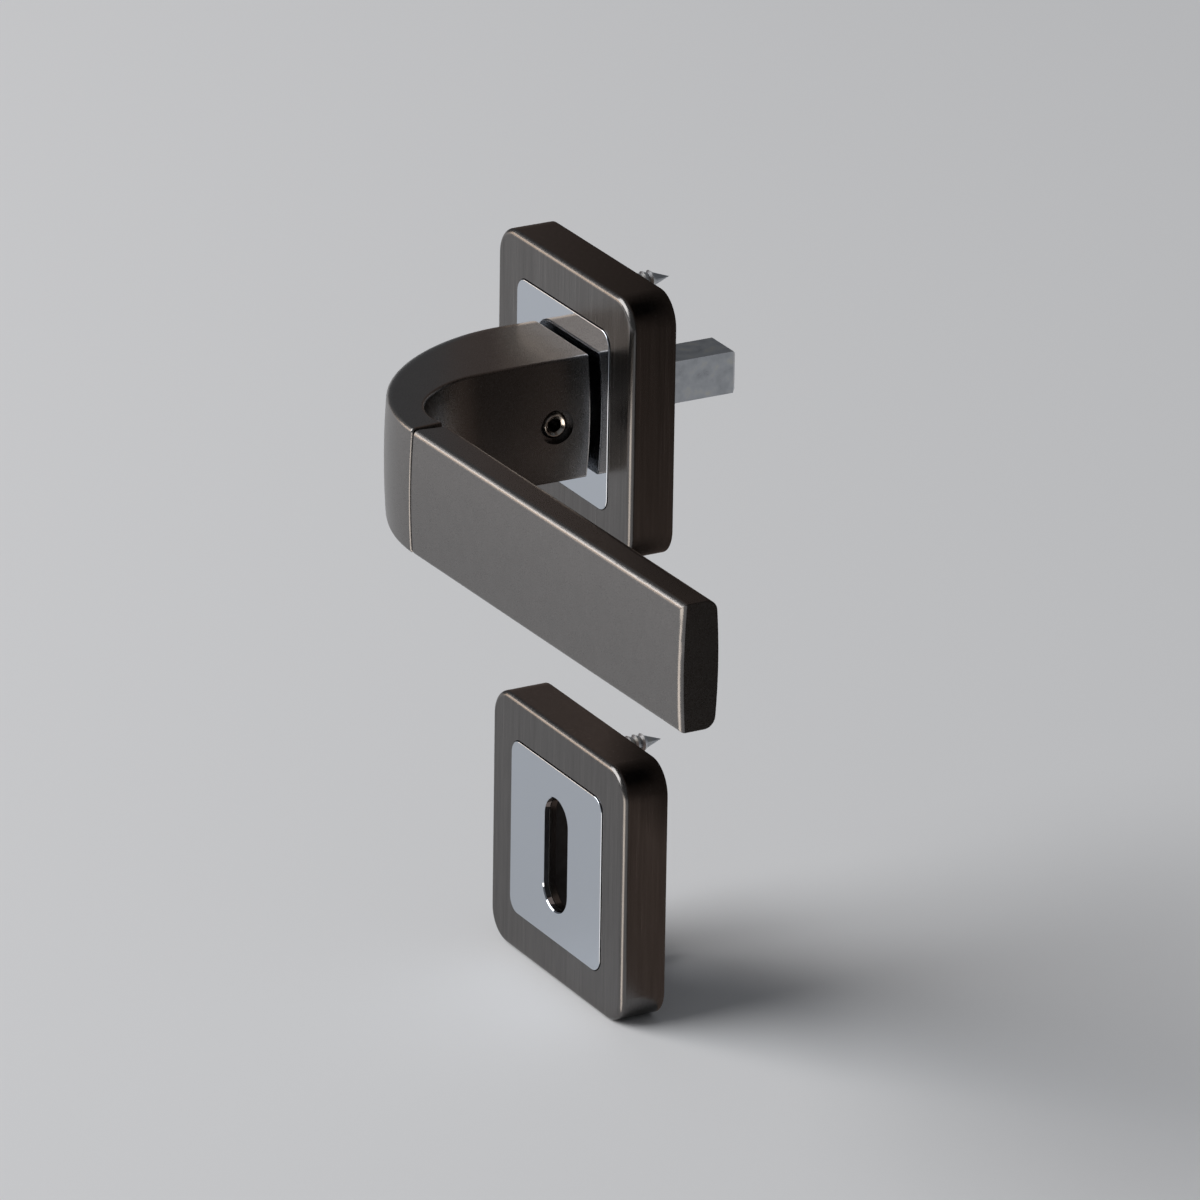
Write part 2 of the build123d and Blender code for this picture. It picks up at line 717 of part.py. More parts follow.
def make_thrust_washer():
    top = washer_back_out + washer_thick
    hole = disc(hub_dia + 2 * driver_fit, washer_back_out, top)
    return disc(washer_dia, washer_back_out, top) - hole


def make_retaining_ring():
    low, high = ring_back_out + stack_gap / 2, ring_back_out + ring_thick
    ring = Circle(ring_dia / 2)
    lugs = [Pos(way * ring_lug_x, ring_dia / 2 - ring_lug_sink) for way in (1, -1)]
    for lug in lugs:
        ring += lug * Circle(ring_lug)
    ring -= Circle(ring_groove_dia / 2 + thread_fit)
    ring -= Pos(0, ring_dia / 2) * Rectangle(ring_mouth, ring_dia * 0.6)
    for lug in lugs:
        ring -= lug * Pos(0, ring_hole_rise) * Circle(ring_lug_hole)
    return slab(ring, low, high)


# ---- write every sub-part -----------------------------------------------------
def shapes_of(made):
    """Every solid of what a maker returned, as one list."""
    items = made if isinstance(made, list) else [made]
    return [solid for item in items for solid in item.solids()]


def main():
    made = {
        "rose_cover": make_rose_cover(),
        "rose_plate": make_rose_plate(),
        "rose_bond": make_rose_bond(),
        "rose_base": make_rose_base(),
        "rose_screws": screw_pair(0),
        "bearing_bush": make_bearing_bush(),
        "spring_cap": make_spring_cap(),
        "cap_screws": make_cap_screws(),
        "return_spring": make_return_spring(),
        "key_cover": make_key_cover(),
        "key_plate": make_key_plate(),
        "key_bond": make_key_bond(),
        "key_base": make_key_base(),
        "key_screws": screw_pair(-key_drop),
        "lever_neck": make_lever_neck(),
        "lever_grip": make_lever_grip(),
        "grip_screws": make_grip_screws(),
        "grub_screw": make_grub_screw(),
        "spindle": make_spindle(),
        "spring_driver": make_spring_driver(),
        "thrust_washer": make_thrust_washer(),
        "retaining_ring": make_retaining_ring(),
    }
    os.makedirs("parts", exist_ok=True)
    for name, item in made.items():
        export_step(Compound(children=shapes_of(item)), "parts/" + name + ".step")


main()
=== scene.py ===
import math

import bpy
from bpy.props import FloatProperty, FloatVectorProperty, PointerProperty, StringProperty
from mathutils import Matrix, Vector


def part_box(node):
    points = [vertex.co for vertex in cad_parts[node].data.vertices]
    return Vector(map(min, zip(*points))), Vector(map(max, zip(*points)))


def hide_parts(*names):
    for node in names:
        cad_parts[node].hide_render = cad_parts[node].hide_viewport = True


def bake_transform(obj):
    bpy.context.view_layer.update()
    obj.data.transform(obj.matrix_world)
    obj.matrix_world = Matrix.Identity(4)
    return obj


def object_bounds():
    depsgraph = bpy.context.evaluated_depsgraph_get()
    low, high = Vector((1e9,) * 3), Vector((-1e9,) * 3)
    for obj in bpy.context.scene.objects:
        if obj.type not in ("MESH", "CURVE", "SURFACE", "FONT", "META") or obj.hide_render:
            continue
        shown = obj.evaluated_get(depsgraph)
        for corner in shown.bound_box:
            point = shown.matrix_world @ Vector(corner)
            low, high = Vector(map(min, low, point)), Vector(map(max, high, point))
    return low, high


bl_info = {
    "name": "Door Lever Handle",
    "version": (1, 0, 0),
    "blender": (4, 5, 0),
    "location": "View3D > Sidebar > Handle",
    "description": "Finishes for a lever handle on a square rose and its key escutcheon",
    "category": "Object",
}

MM = 0.001

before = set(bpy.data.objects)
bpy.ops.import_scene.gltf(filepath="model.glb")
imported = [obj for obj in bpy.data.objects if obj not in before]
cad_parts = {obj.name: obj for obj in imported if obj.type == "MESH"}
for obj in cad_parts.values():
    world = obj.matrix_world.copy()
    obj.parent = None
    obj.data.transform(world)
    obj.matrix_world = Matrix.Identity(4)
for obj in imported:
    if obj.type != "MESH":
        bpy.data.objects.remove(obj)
CAD_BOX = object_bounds()
FOOT = CAD_BOX[0][2]

# Floor, and the two cards that show only in the metal's reflections. The floor lies just under
# the object and the cards stand just above the floor, so that no two faces share a plane.
FLOOR_DROP = 0.2 * MM
FLOOR_REACH = 6.0
CARD_DROP = 0.1 * MM
CARD_REACH = 0.6
DOOR_GAP = 0.15 * MM              # glowing door card behind the covers
DOOR_EDGE_X = -61.6 * MM          # the door's edge beside the handle
DOOR_PAINTED_LIGHT_SPAN = (-0.06, 0.14)    # x across which the door card's painted light turns to painted shadow past the neck
PAINTED_SHADOW_SHIFT = (3 * MM, 13 * MM)  # from a cover's top right corner to the middle of its painted shadow

# The white card's far corners, from the one at the escutcheon's foot, in card reaches.
WEDGE_SIDES = ((0.12, -0.92), (0.7, -0.92), (0.7, -0.78))

# Brushing, in line spacings: how long a line is, and how wide and long the broad bands are.
BRUSH_LINE_LENGTH = 60
BRUSH_BAND = (5, 200)

COVERS = ("rose_cover", "key_cover")
PLATES = ("rose_plate", "key_plate")
LEVER = ("lever_neck", "lever_grip")
BASES = ("rose_base", "key_base")
PADS = ("rose_bond", "key_bond")
BRIGHT_STEEL = ("rose_screws", "key_screws", "spring_cap", "cap_screws", "spindle",
                "spring_driver")
BLACK_STEEL = ("retaining_ring", "grip_screws")
BEARINGS = ("bearing_bush", "thrust_washer")


# ---- colour and nodes ---------------------------------------------------------
def linear(code):
    """An sRGB hex colour as linear red, green, blue and alpha."""
    parts = [int(code[i:i + 2], 16) / 255 for i in (1, 3, 5)]
    return tuple(c / 12.92 if c <= 0.04045 else ((c + 0.055) / 1.055) ** 2.4
                 for c in parts) + (1.0,)


def per_mm(size):
    """Texture scale that gives a pattern of this size in millimetres."""
    return 1.0 / (size * MM)


def add(tree, kind, settings=None, values=None, links=None):
    """Adds one node: its settings, its socket values and what feeds its sockets."""
    node = tree.nodes.new(kind)
    for name, value in (settings or {}).items():
        setattr(node, name, value)
    for name, value in (values or {}).items():
        node.inputs[name].default_value = value
    for name, source in (links or {}).items():
        tree.links.new(source, node.inputs[name])
    return node


def start_material(name, colour, metallic, roughness, **more):
    """A material with its shader; returns the material, its tree and the shader."""
    material = bpy.data.materials.new(name)
    material.use_nodes = True
    material.diffuse_color = linear(colour)
    tree = material.node_tree
    shader = tree.nodes["Principled BSDF"]
    shader.inputs["Base Color"].default_value = linear(colour)
    shader.inputs["Metallic"].default_value = metallic
    shader.inputs["Roughness"].default_value = roughness
    for socket, value in more.items():
        shader.inputs[socket.replace("_", " ")].default_value = value
    return material, tree, shader


def stretched(tree, sizes):
    """Object coordinates scaled so that one unit is this many millimetres per axis."""
    place = add(tree, "ShaderNodeTexCoord")
    return add(tree, "ShaderNodeMapping", values={"Scale": [per_mm(s) for s in sizes]},
               links={"Vector": place.outputs["Object"]})


def colour_ramp(tree, source, stops):
    """A ramp over the source, from (place, hex colour) pairs."""
    node = add(tree, "ShaderNodeValToRGB", links={"Fac": source})
    ramp = node.color_ramp
    while len(ramp.elements) < len(stops):
        ramp.elements.new(0.5)
    for element, (place, code) in zip(ramp.elements, stops):
        element.position = place
        element.color = linear(code)
    return node


def spread(tree, source, low, high):
    """The source, from 0 to 1, mapped to the span from low to high."""
    node = add(tree, "ShaderNodeMapRange", links={"Value": source},
               values={"To Min": low, "To Max": high})
    return node.outputs["Result"]


# ---- materials ----------------------------------------------------------------
# Each takes the look's settings and returns the material.
def brushed_black_nickel(look):
    """Zinc casting, linished upright, plated in black nickel and lacquered.

    The belt leaves fine upright lines, and between them the plating keeps a warm grey. Dark
    nickel stays dark at a glancing angle too, so the tops don't turn bright."""
    material, tree, shader = start_material(
        "black_nickel_brushed", look.cover_colour_hex, 1.0, look.cover_roughness,
        Specular_Tint=linear(look.glance_hex))
    line = look.brush_line / MM
    lines = stretched(tree, (line, line, line * BRUSH_LINE_LENGTH))
    fine = add(tree, "ShaderNodeTexNoise", values={"Scale": 1.0, "Detail": 3.0},
               links={"Vector": lines.outputs["Vector"]})
    width, length = BRUSH_BAND
    bands = stretched(tree, (line * width, line * width, line * length))
    broad = add(tree, "ShaderNodeTexNoise", values={"Scale": 1.0, "Detail": 2.0},
                links={"Vector": bands.outputs["Vector"]})
    both = add(tree, "ShaderNodeMath", {"operation": "MULTIPLY_ADD"},
               {1: 0.6}, {0: fine.outputs["Fac"]})
    tree.links.new(spread(tree, broad.outputs["Fac"], 0.0, 0.4), both.inputs[2])
    tone = colour_ramp(tree, both.outputs["Value"],
                       ((0.3, look.cover_dark_hex), (0.52, look.cover_colour_hex),
                        (0.72, look.cover_light_hex)))
    tree.links.new(tone.outputs["Color"], shader.inputs["Base Color"])
    tree.links.new(spread(tree, both.outputs["Value"], look.cover_roughness - 0.1,
                          look.cover_roughness + 0.1), shader.inputs["Roughness"])
    bump = add(tree, "ShaderNodeBump", values={"Strength": 0.22, "Distance": 0.02 * MM},
               links={"Height": both.outputs["Value"]})
    tree.links.new(bump.outputs["Normal"], shader.inputs["Normal"])
    return material


def satin_black_nickel(look):
    """Zinc casting, bead blasted before the same plating.

    The blasting leaves an even, very fine grain with no direction and soft highlights."""
    material, tree, shader = start_material(
        "black_nickel_satin", look.lever_colour_hex, 1.0, look.lever_roughness,
        Specular_Tint=linear(look.glance_hex))
    grit = look.blast_grain / MM
    grain = add(tree, "ShaderNodeTexNoise", values={"Scale": 1.0, "Detail": 2.0},
                links={"Vector": stretched(tree, (grit, grit, grit)).outputs["Vector"]})
    cloud = add(tree, "ShaderNodeTexNoise", values={"Scale": 1.0, "Detail": 3.0},
                links={"Vector": stretched(tree, (3.0, 3.0, 3.0)).outputs["Vector"]})
    both = add(tree, "ShaderNodeMath", {"operation": "MULTIPLY_ADD"},
               {1: 0.85}, {0: grain.outputs["Fac"]})
    tree.links.new(spread(tree, cloud.outputs["Fac"], 0.0, 0.15), both.inputs[2])
    tone = colour_ramp(tree, both.outputs["Value"],
                       ((0.3, look.lever_dark_hex), (0.5, look.lever_colour_hex),
                        (0.7, look.lever_light_hex)))
    tree.links.new(tone.outputs["Color"], shader.inputs["Base Color"])
    tree.links.new(spread(tree, both.outputs["Value"], look.lever_roughness - 0.05,
                          look.lever_roughness + 0.05), shader.inputs["Roughness"])
    bump = add(tree, "ShaderNodeBump", values={"Strength": 0.12, "Distance": 0.02 * MM},
               links={"Height": grain.outputs["Fac"]})
    tree.links.new(bump.outputs["Normal"], shader.inputs["Normal"])
    return material


def polished_nickel(look):
    """Brass sheet, polished and nickel plated: a mirror with the faintest orange peel."""
    material, tree, shader = start_material(
        "nickel_polished", look.plate_colour_hex, 1.0, look.plate_roughness)
    speck = add(tree, "ShaderNodeTexNoise", values={"Scale": 1.0, "Detail": 2.0},
                links={"Vector": stretched(tree, (0.35, 0.35, 0.35)).outputs["Vector"]})
    tree.links.new(spread(tree, speck.outputs["Fac"], look.plate_roughness * 0.4,
                          look.plate_roughness * 1.6), shader.inputs["Roughness"])
    peel = add(tree, "ShaderNodeTexNoise", values={"Scale": 1.0, "Detail": 1.0},
               links={"Vector": stretched(tree, (6.0, 6.0, 6.0)).outputs["Vector"]})
    bump = add(tree, "ShaderNodeBump", values={"Strength": 0.05, "Distance": 0.01 * MM},
               links={"Height": peel.outputs["Fac"]})
    tree.links.new(bump.outputs["Normal"], shader.inputs["Normal"])
    return material


def moulded_nylon(look):
    """Glass-filled nylon, injection moulded: dull black with a light, cloudy surface."""
    material, tree, shader = start_material("nylon_moulded", "#1F1F20", 0.0, 0.5)
    cloud = add(tree, "ShaderNodeTexNoise", values={"Scale": 1.0, "Detail": 4.0},
                links={"Vector": stretched(tree, (1.5, 1.5, 1.5)).outputs["Vector"]})
    tone = colour_ramp(tree, cloud.outputs["Fac"], ((0.35, "#1A1A1B"), (0.7, "#2A2A2B")))
    tree.links.new(tone.outputs["Color"], shader.inputs["Base Color"])
    tree.links.new(spread(tree, cloud.outputs["Fac"], 0.42, 0.6), shader.inputs["Roughness"])
    bump = add(tree, "ShaderNodeBump", values={"Strength": 0.15, "Distance": 0.03 * MM},
               links={"Height": cloud.outputs["Fac"]})
    tree.links.new(bump.outputs["Normal"], shader.inputs["Normal"])
    return material


def acetal(look):
    """Acetal, turned: ivory white and slippery, with faint tool rings round the hub."""
    material, tree, shader = start_material("acetal_turned", "#E4E1D8", 0.0, 0.35,
                                            Subsurface_Weight=0.1, Subsurface_Radius=(1 * MM,) * 3)
    rings = add(tree, "ShaderNodeTexWave",
                {"wave_type": "RINGS", "rings_direction": "Y"},
                {"Scale": per_mm(3.0), "Distortion": 0.4},
                {"Vector": add(tree, "ShaderNodeTexCoord").outputs["Object"]})
    tree.links.new(spread(tree, rings.outputs["Fac"], 0.28, 0.42), shader.inputs["Roughness"])
    tone = colour_ramp(tree, rings.outputs["Fac"], ((0.0, "#DEDACF"), (1.0, "#E8E5DD")))
    tree.links.new(tone.outputs["Color"], shader.inputs["Base Color"])
    return material


def zinc_plated_steel(look):
    """Steel, stamped or drawn and bright zinc plated: blue-white with cloudy spangle."""
    material, tree, shader = start_material("steel_zinc_plated", "#B4B7BA", 1.0, 0.3)
    cloud = add(tree, "ShaderNodeTexNoise", values={"Scale": 1.0, "Detail": 5.0},
                links={"Vector": stretched(tree, (2.2, 2.2, 2.2)).outputs["Vector"]})
    tone = colour_ramp(tree, cloud.outputs["Fac"],
                       ((0.3, "#A2A5A9"), (0.55, "#B7BABE"), (0.75, "#C6C5BE")))
    tree.links.new(tone.outputs["Color"], shader.inputs["Base Color"])
    tree.links.new(spread(tree, cloud.outputs["Fac"], 0.22, 0.4), shader.inputs["Roughness"])
    return material


def oxide_black_steel(look):
    """Hardened steel, blackened in hot salts: near black, oily and slightly uneven."""
    material, tree, shader = start_material("steel_black_oxide", "#5A5856", 1.0, 0.3)
    cloud = add(tree, "ShaderNodeTexNoise", values={"Scale": 1.0, "Detail": 3.0},
                links={"Vector": stretched(tree, (0.8, 0.8, 0.8)).outputs["Vector"]})
    tone = colour_ramp(tree, cloud.outputs["Fac"], ((0.3, "#4A4846"), (0.7, "#6A6866")))
    tree.links.new(tone.outputs["Color"], shader.inputs["Base Color"])
    tree.links.new(spread(tree, cloud.outputs["Fac"], 0.22, 0.38), shader.inputs["Roughness"])
    return material


def black_steel_painted_rim(look):
    """Hardened steel, machined and blackened.

    The socket is painted darker, as painted shade, and the rim round it is painted bright, as a
    painted highlight. The ramp runs from the screw's middle to twice the rim's radius, so the
    bright stop at 0.5 is the painted rim highlight."""
    material, tree, shader = start_material("steel_black_painted_rim_highlight", "#3A3836", 1.0, 0.25)
    low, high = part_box("grub_screw")
    middle = [(a + b) / 2 for a, b in zip(low, high)]
    place = add(tree, "ShaderNodeTexCoord")
    flat = add(tree, "ShaderNodeVectorMath", {"operation": "MULTIPLY"}, {1: (0.0, 1.0, 1.0)},
               {0: place.outputs["Object"]})
    out = add(tree, "ShaderNodeVectorMath", {"operation": "DISTANCE"},
              {1: (0.0, middle[1], middle[2])}, {0: flat.outputs["Vector"]})
    reach = add(tree, "ShaderNodeMath", {"operation": "DIVIDE"}, {1: look.screw_rim_highlight * 2},
                {0: out.outputs["Value"]})
    # Painted shade in the socket, a painted highlight on the rim, plain blackened steel beyond.
    tone = colour_ramp(tree, reach.outputs["Value"],
                       ((0.33, "#2A2827"), (0.38, "#A8A39D"), (0.5, "#D2CDC6"),
                        (0.56, "#4A4745")))
    tree.links.new(tone.outputs["Color"], shader.inputs["Base Color"])
    cut = add(tree, "ShaderNodeTexNoise", values={"Scale": 1.0, "Detail": 2.0},
              links={"Vector": stretched(tree, (0.6, 0.6, 0.6)).outputs["Vector"]})
    tree.links.new(spread(tree, cut.outputs["Fac"], 0.15, 0.28), shader.inputs["Roughness"])
    return material


def spring_wire(look):
    """Music wire, cold drawn and oiled: grey-brown, mottled where the oil has dried."""
    material, tree, shader = start_material("steel_drawn_wire", "#7E7A76", 1.0, 0.28)
    cloud = add(tree, "ShaderNodeTexNoise", values={"Scale": 1.0, "Detail": 3.0},
                links={"Vector": stretched(tree, (0.5, 0.2, 0.5)).outputs["Vector"]})
    tone = colour_ramp(tree, cloud.outputs["Fac"], ((0.3, "#6C6864"), (0.7, "#8C8884")))
    tree.links.new(tone.outputs["Color"], shader.inputs["Base Color"])
    tree.links.new(spread(tree, cloud.outputs["Fac"], 0.2, 0.36), shader.inputs["Roughness"])
    return material


def adhesive_foam(look):
    """Acrylic foam tape, die cut: off-white, dull and slightly translucent."""
    material, tree, shader = start_material("acrylic_foam_tape", "#D6D4CC", 0.0, 0.8)
    cells = add(tree, "ShaderNodeTexVoronoi", values={"Scale": 1.0},
                links={"Vector": stretched(tree, (0.3, 0.3, 0.3)).outputs["Vector"]})
    tone = colour_ramp(tree, cells.outputs["Distance"], ((0.0, "#CFCDC5"), (0.8, "#DBD9D2")))
    tree.links.new(tone.outputs["Color"], shader.inputs["Base Color"])
    return material


def floor_board(look):
    """Painted board, rolled matt: a plain, pale surface with no sheen that could mirror a card."""
    return start_material("paint_matt_floor", look.floor_colour_hex, 0.0, 0.85,
                          Specular_IOR_Level=0.0)[0]


def finish(nodes, make):
    """Gives CAD nodes one finish in all their slots."""
    look = bpy.context.scene.handle_look
    material = make(look)
    for name in nodes:
        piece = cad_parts.get(name)
        if piece is None:
            raise RuntimeError(f"the frame has no node {name}")
        piece.data.materials.clear()
        piece.data.materials.append(material)


def add_winding_spring(material):
    """The return spring copied as a piece of its own, with the given finish; the CAD node is
    hidden."""
    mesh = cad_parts["return_spring"].data.copy()
    mesh.materials.clear()
    mesh.materials.append(material)
    spring = bpy.data.objects.new("wound_spring", mesh)
    bpy.context.collection.objects.link(spring)
    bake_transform(spring)
    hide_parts("return_spring")


# ---- settings -----------------------------------------------------------------
class HandleLook(bpy.types.PropertyGroup):
    """Colours and surface sizes of the handle.

    Real belt lines and blasted grain are finer than these. They are drawn coarser, so that they
    still show when the whole handle is in view."""
    cover_colour_hex: StringProperty(name="Cover", description="Brushed plating",
                                     default="#6C6A69")
    cover_dark_hex: StringProperty(name="Cover dark", description="Deep lines",
                                   default="#5F5D5C")
    cover_light_hex: StringProperty(name="Cover light", description="Bright lines",
                                    default="#797776")
    lever_colour_hex: StringProperty(name="Lever", description="Blasted plating",
                                     default="#7A7877")
    lever_dark_hex: StringProperty(name="Lever dark", description="Pits of the grain",
                                   default="#737170")
    lever_light_hex: StringProperty(name="Lever light", description="Tips of the grain",
                                    default="#838180")
    glance_hex: StringProperty(name="Glancing tint", description="Dark plating seen edge-on",
                               default="#E8E8E8")
    plate_colour_hex: StringProperty(name="Plate", description="Polished plating",
                                     default="#C2C8D0")
    floor_colour_hex: StringProperty(name="Floor", description="Matt paint", default="#E3E4E6")
    cover_roughness: FloatProperty(name="Cover roughness", description="Brushed plating",
                                   default=0.24, min=0.1, max=0.9, subtype="FACTOR")
    lever_roughness: FloatProperty(name="Lever roughness", description="Blasted plating",
                                   default=0.28, min=0.1, max=0.9, subtype="FACTOR")
    plate_roughness: FloatProperty(name="Plate roughness", description="Polished plating",
                                   default=0.05, min=0.0, max=0.5, subtype="FACTOR")
    brush_line: FloatProperty(name="Brush line", description="Spacing of the brushed lines",
                              default=0.14 * MM, unit="LENGTH")
    blast_grain: FloatProperty(name="Blast grain", description="Size of the blasted grain",
                               default=0.16 * MM, unit="LENGTH")
    # Radius of the grub screw's rim that is painted bright as a highlight.
    screw_rim_highlight: FloatProperty(name="Screw rim", description="Radius of the grub screw's worn rim",
                             default=1.95 * MM, unit="LENGTH")


class HandleStage(bpy.types.PropertyGroup):
    """Camera, lights and floor round the handle."""
    aim: FloatVectorProperty(name="Aim", description="Point the camera looks at",
                             default=(0.0, -0.0005, -0.045), subtype="TRANSLATION", unit="LENGTH")
    azimuth: FloatProperty(name="Azimuth", description="Camera turned about the upright axis",
                           default=math.radians(60.861), subtype="ANGLE")
    elevation: FloatProperty(name="Elevation", description="Camera above the aim",
                             default=math.radians(21.923), subtype="ANGLE")
    roll: FloatProperty(name="Roll", description="Camera tilt about its own axis",
                        default=math.radians(0.891), subtype="ANGLE")
    distance: FloatProperty(name="Distance", description="Camera to aim", default=1.9,
                            unit="LENGTH")
    lens: FloatProperty(name="Lens", description="Focal length on a 36 mm frame",
                        default=314.34, subtype="DISTANCE_CAMERA")
    frame_shift: FloatVectorProperty(name="Shift", description="Picture shift, in widths",
                                     default=(-0.00252, 0.01522), size=2)
    sky: FloatProperty(name="Room light", description="Even light from the room",
                       default=0.16, min=0.0)


# ---- one operator per group of pieces -----------------------------------------
class HANDLE_OT_covers(bpy.types.Operator):
    """Finish the covers of the rose and of the escutcheon"""
    bl_idname = "handle.covers"
    bl_label = "Covers"

    def execute(self, context):
        finish(COVERS, brushed_black_nickel)
        return {"FINISHED"}


class HANDLE_OT_plates(bpy.types.Operator):
    """Finish the two polished insert plates"""
    bl_idname = "handle.plates"
    bl_label = "Insert plates"

    def execute(self, context):
        finish(PLATES, polished_nickel)
        return {"FINISHED"}


class HANDLE_OT_lever(bpy.types.Operator):
    """Finish the neck and the grip of the lever"""
    bl_idname = "handle.lever"
    bl_label = "Lever"

    def execute(self, context):
        finish(LEVER, satin_black_nickel)
        return {"FINISHED"}


class HANDLE_OT_fixings(bpy.types.Operator):
    """Finish the screws, the spindle, the sheet parts and the spring"""
    bl_idname = "handle.fixings"
    bl_label = "Fixings"

    def execute(self, context):
        finish(BRIGHT_STEEL, zinc_plated_steel)
        finish(BLACK_STEEL, oxide_black_steel)
        finish(("grub_screw",), black_steel_painted_rim)
        add_winding_spring(spring_wire(context.scene.handle_look))
        return {"FINISHED"}


class HANDLE_OT_bearings(bpy.types.Operator):
    """Finish the moulded bases, the bush, the washer and the adhesive pads"""
    bl_idname = "handle.bearings"
    bl_label = "Bases and bearings"

    def execute(self, context):
        finish(BASES, moulded_nylon)
        finish(BEARINGS, acetal)
        finish(PADS, adhesive_foam)
        return {"FINISHED"}


class HANDLE_OT_stage(bpy.types.Operator):
    """Set the floor, the two cards, the soft lights and the camera"""
    bl_idname = "handle.stage"
    bl_label = "Stage"

    def execute(self, context):
        setup = context.scene.handle_stage
        look = context.scene.handle_look
        add_floor(look)
        add_door_card()
        add_white_card()
        add_room_light(setup)
        add_lamps()
        add_camera(context, setup)
        context.scene.view_settings.view_transform = "Standard"
        return {"FINISHED"}


# ---- stage --------------------------------------------------------------------
def flat_panel(name, corners, material):
    """A single face through four corners."""
    mesh = bpy.data.meshes.new(name)
    mesh.from_pydata(corners, [], [(0, 1, 2, 3)])
    mesh.materials.append(material)
    panel = bpy.data.objects.new(name, mesh)
    bpy.context.collection.objects.link(panel)
    return panel


def add_floor(look):
    """A plain floor under the object."""
    level = FOOT - FLOOR_DROP
    corners = [(x * FLOOR_REACH, y * FLOOR_REACH, level)
               for x, y in ((-1, -1), (1, -1), (1, 1), (-1, 1))]
    flat_panel("floor", corners, floor_board(look))


def painted_shadow_patch(tree, spot, stops):
    """Painted shadow round a spot of the upright card: stops are (distance in metres, grey)."""
    place = add(tree, "ShaderNodeTexCoord")
    away = add(tree, "ShaderNodeVectorMath", {"operation": "DISTANCE"}, {1: spot},
               {0: place.outputs["Object"]})
    furthest = stops[-1][0]
    share = add(tree, "ShaderNodeMath", {"operation": "DIVIDE", "use_clamp": True},
                {1: furthest}, {0: away.outputs["Value"]})
    return colour_ramp(tree, share.outputs["Value"],
                       [(reach / furthest, grey) for reach, grey in stops])


def add_door_card():
    """A glowing card where the door would be: its glow is the lit door's dark brown tone, painted
    light. It shows only in the metal's reflections.

    The glow is painted darkest, as painted shadow, above and to the right of each cover, where
    the covers' shadow falls on the door, and beyond the lever's neck, where the lever's shadow
    falls."""
    material, tree, shader = start_material("card_painted_door_light", "#000000", 0.0, 1.0,
                                            Specular_IOR_Level=0.0, Emission_Strength=1.0)
    place = add(tree, "ShaderNodeTexCoord")
    across = add(tree, "ShaderNodeSeparateXYZ", links={"Vector": place.outputs["Object"]})
    start, end = DOOR_PAINTED_LIGHT_SPAN
    share = add(tree, "ShaderNodeMapRange", values={"From Min": start, "From Max": end},
                links={"Value": across.outputs["X"]})
    # Painted light of the lit door, darkening to painted shadow beyond the lever's neck.
    painted_door_light = colour_ramp(tree, share.outputs["Result"],
                       ((0.0, "#756A66"), (0.45, "#7F7068"), (0.52, "#7F7068"),
                        (0.62, "#3C3430"), (1.0, "#3A3532")))
    right, up = PAINTED_SHADOW_SHIFT
    rose_shadow_spot, key_shadow_spot = [(high[0] + right, DOOR_GAP, high[2] + up)
                           for low, high in (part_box("rose_cover"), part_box("key_cover"))]
    # Painted shadows of the two covers, cast on the door card.
    rose = painted_shadow_patch(tree, rose_shadow_spot, ((0.006, "#000000"), (0.02, "#A8A8A8"),
                                          (0.05, "#CFCFCF"), (0.09, "#FFFFFF")))
    key = painted_shadow_patch(tree, key_shadow_spot, ((0.006, "#000000"), (0.018, "#909090"),
                                        (0.03, "#FFFFFF")))
    both = add(tree, "ShaderNodeVectorMath", {"operation": "MULTIPLY"},
               links={0: rose.outputs["Color"], 1: key.outputs["Color"]})
    dark = add(tree, "ShaderNodeVectorMath", {"operation": "MULTIPLY"},
               links={0: both.outputs["Vector"], 1: painted_door_light.outputs["Color"]})
    # The card's glow carries the painted door light and the painted shadows.
    tree.links.new(dark.outputs["Vector"], shader.inputs["Emission Color"])
    foot = FOOT - CARD_DROP
    corners = [(DOOR_EDGE_X, DOOR_GAP, foot), (CARD_REACH, DOOR_GAP, foot),
               (CARD_REACH, DOOR_GAP, CARD_REACH), (DOOR_EDGE_X, DOOR_GAP, CARD_REACH)]
    reflected_card("glowing_door_card", corners, material)


def add_white_card():
    """A glowing wedge of card on the floor, from the foot of the covers outwards.

    It shows only in the metal, as the bright line down each upright edge."""
    material = start_material("card_white", "#FFFFFF", 0.0, 0.8, Emission_Strength=2.4,
                              Emission_Color=linear("#FFF1E2"))[0]
    low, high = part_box("key_cover")
    start = (high[0], low[1])
    level = FOOT - CARD_DROP
    corners = [(start[0] + x * CARD_REACH, start[1] + y * CARD_REACH, level)
               for x, y in ((0.0, 0.0),) + WEDGE_SIDES]
    reflected_card("white_card", corners, material)


def reflected_card(name, corners, material):
    """A card that shows only in reflections."""
    card = flat_panel(name, corners, material)
    card.visible_camera = False
    card.visible_diffuse = False
    card.visible_shadow = False


def add_room_light(setup):
    """Weak, even light from all round."""
    world = bpy.data.worlds.new("room")
    world.use_nodes = True
    back = world.node_tree.nodes["Background"]
    back.inputs["Color"].default_value = linear("#F2F5FA")
    back.inputs["Strength"].default_value = setup.sky
    bpy.context.scene.world = world


def soft_lamp(name, place, aim, size, power, colour):
    """A rectangular soft lamp that points at a spot; size is width and height."""
    lamp = bpy.data.lights.new(name, "AREA")
    lamp.shape = "RECTANGLE"
    lamp.size, lamp.size_y = size
    lamp.energy = power
    lamp.color = linear(colour)[:3]
    holder = bpy.data.objects.new(name, lamp)
    holder.location = place
    way = Vector(aim) - Vector(place)
    holder.rotation_euler = way.to_track_quat("-Z", "Y").to_euler()
    bpy.context.collection.objects.link(holder)


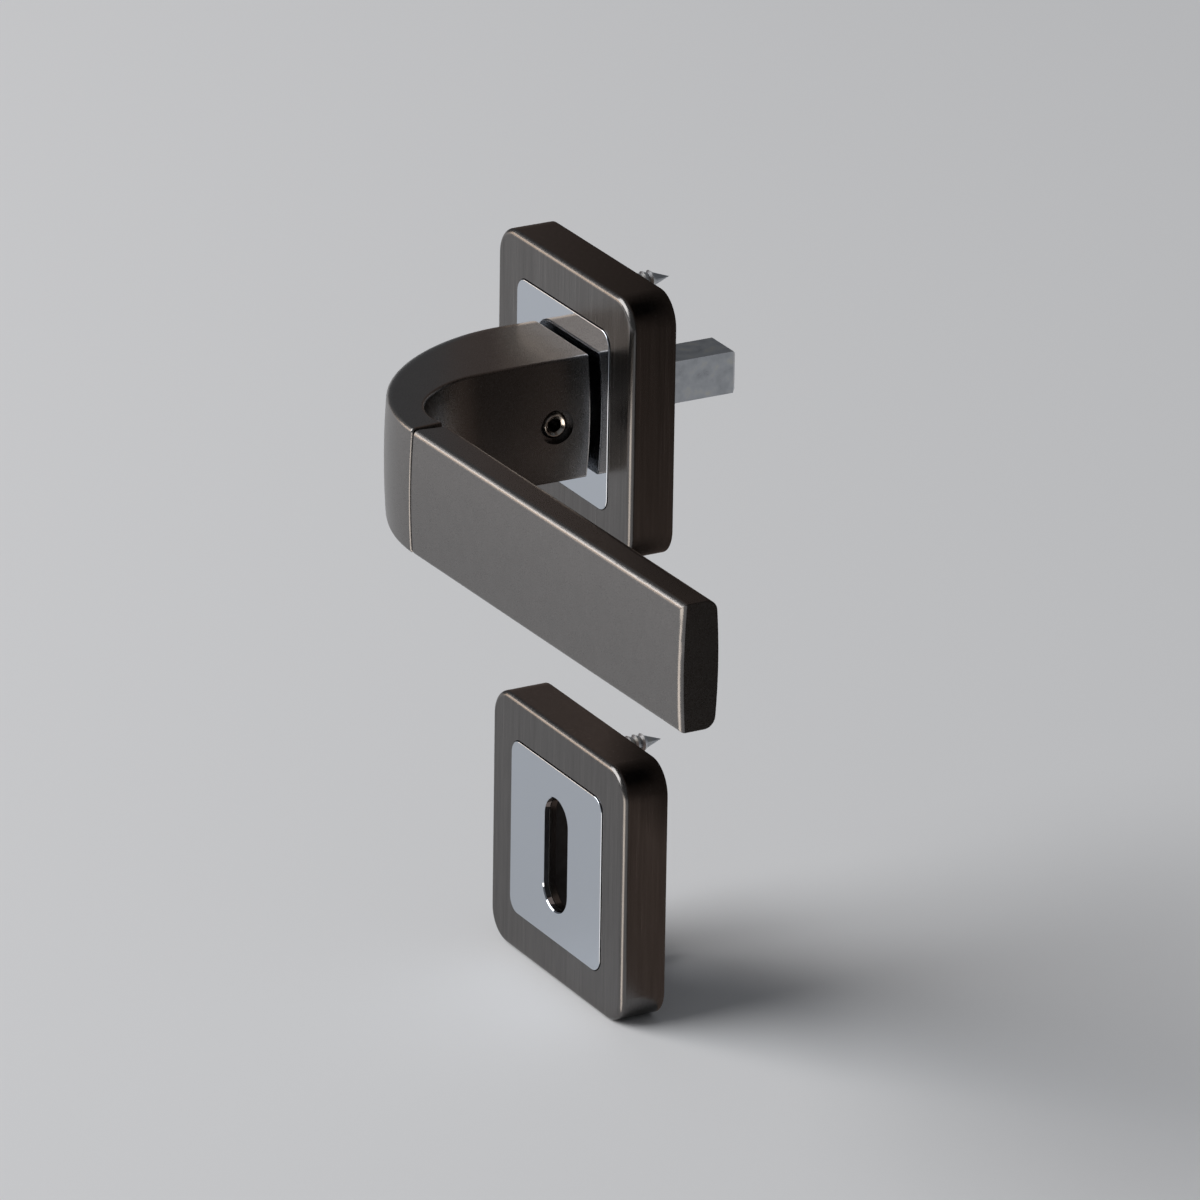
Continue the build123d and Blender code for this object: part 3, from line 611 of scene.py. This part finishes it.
def add_lamps():
    """The main softbox above on the left, and a small warm one low beside it."""
    soft_lamp("softbox_key", place=(-1.0, -1.9, 1.4), aim=(0, 0, -0.1), size=(2.4, 2.0),
              power=76.0, colour="#FFFFFF")
    soft_lamp("softbox_left", place=(-1.5, -1.05, 0.22), aim=(0, 0, -0.05), size=(0.7, 0.7),
              power=4.3, colour="#FFE6CE")


def add_camera(context, setup):
    """The camera, placed by its angles round the point that it looks at."""
    turn, rise, tilt = setup.azimuth, setup.elevation, setup.roll
    back = Vector((math.sin(turn) * math.cos(rise), -math.cos(turn) * math.cos(rise),
                   math.sin(rise)))
    right = Vector((0, 0, 1)).cross(back).normalized()
    up = back.cross(right)
    tilted_right = math.cos(tilt) * right + math.sin(tilt) * up
    tilted_up = math.cos(tilt) * up - math.sin(tilt) * right
    place = Matrix((tilted_right, tilted_up, back)).transposed().to_4x4()
    place.translation = Vector(setup.aim) + setup.distance * back
    lens = bpy.data.cameras.new("camera")
    lens.sensor_width = 36.0
    lens.lens = setup.lens
    lens.shift_x, lens.shift_y = setup.frame_shift
    lens.clip_start, lens.clip_end = 0.05, 30.0
    camera = bpy.data.objects.new("camera", lens)
    camera.matrix_world = place
    context.collection.objects.link(camera)
    context.scene.camera = camera


class HANDLE_PT_sidebar(bpy.types.Panel):
    """Buttons for the groups of pieces, and the settings below them"""
    bl_label = "Door Lever Handle"
    bl_idname = "HANDLE_PT_sidebar"
    bl_space_type = "VIEW_3D"
    bl_region_type = "UI"
    bl_category = "Handle"

    def draw(self, context):
        layout = self.layout
        for operator in OPERATORS:
            layout.operator(operator.bl_idname)
        for group in (context.scene.handle_look, context.scene.handle_stage):
            box = layout.box()
            for name in group.bl_rna.properties.keys():
                if name not in ("rna_type", "name"):
                    box.prop(group, name)


OPERATORS = (HANDLE_OT_covers, HANDLE_OT_plates, HANDLE_OT_lever, HANDLE_OT_fixings,
             HANDLE_OT_bearings, HANDLE_OT_stage)
CLASSES = (HandleLook, HandleStage) + OPERATORS + (HANDLE_PT_sidebar,)


def register():
    """Adds the classes and their settings to the program."""
    for item in CLASSES:
        bpy.utils.register_class(item)
    bpy.types.Scene.handle_look = PointerProperty(type=HandleLook)
    bpy.types.Scene.handle_stage = PointerProperty(type=HandleStage)


def unregister():
    """Takes them out again."""
    del bpy.types.Scene.handle_stage
    del bpy.types.Scene.handle_look
    for item in reversed(CLASSES):
        bpy.utils.unregister_class(item)


def main():
    """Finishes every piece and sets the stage."""
    register()
    bpy.ops.handle.covers()
    bpy.ops.handle.plates()
    bpy.ops.handle.lever()
    bpy.ops.handle.fixings()
    bpy.ops.handle.bearings()
    bpy.ops.handle.stage()


if __name__ == "__main__":
    main()
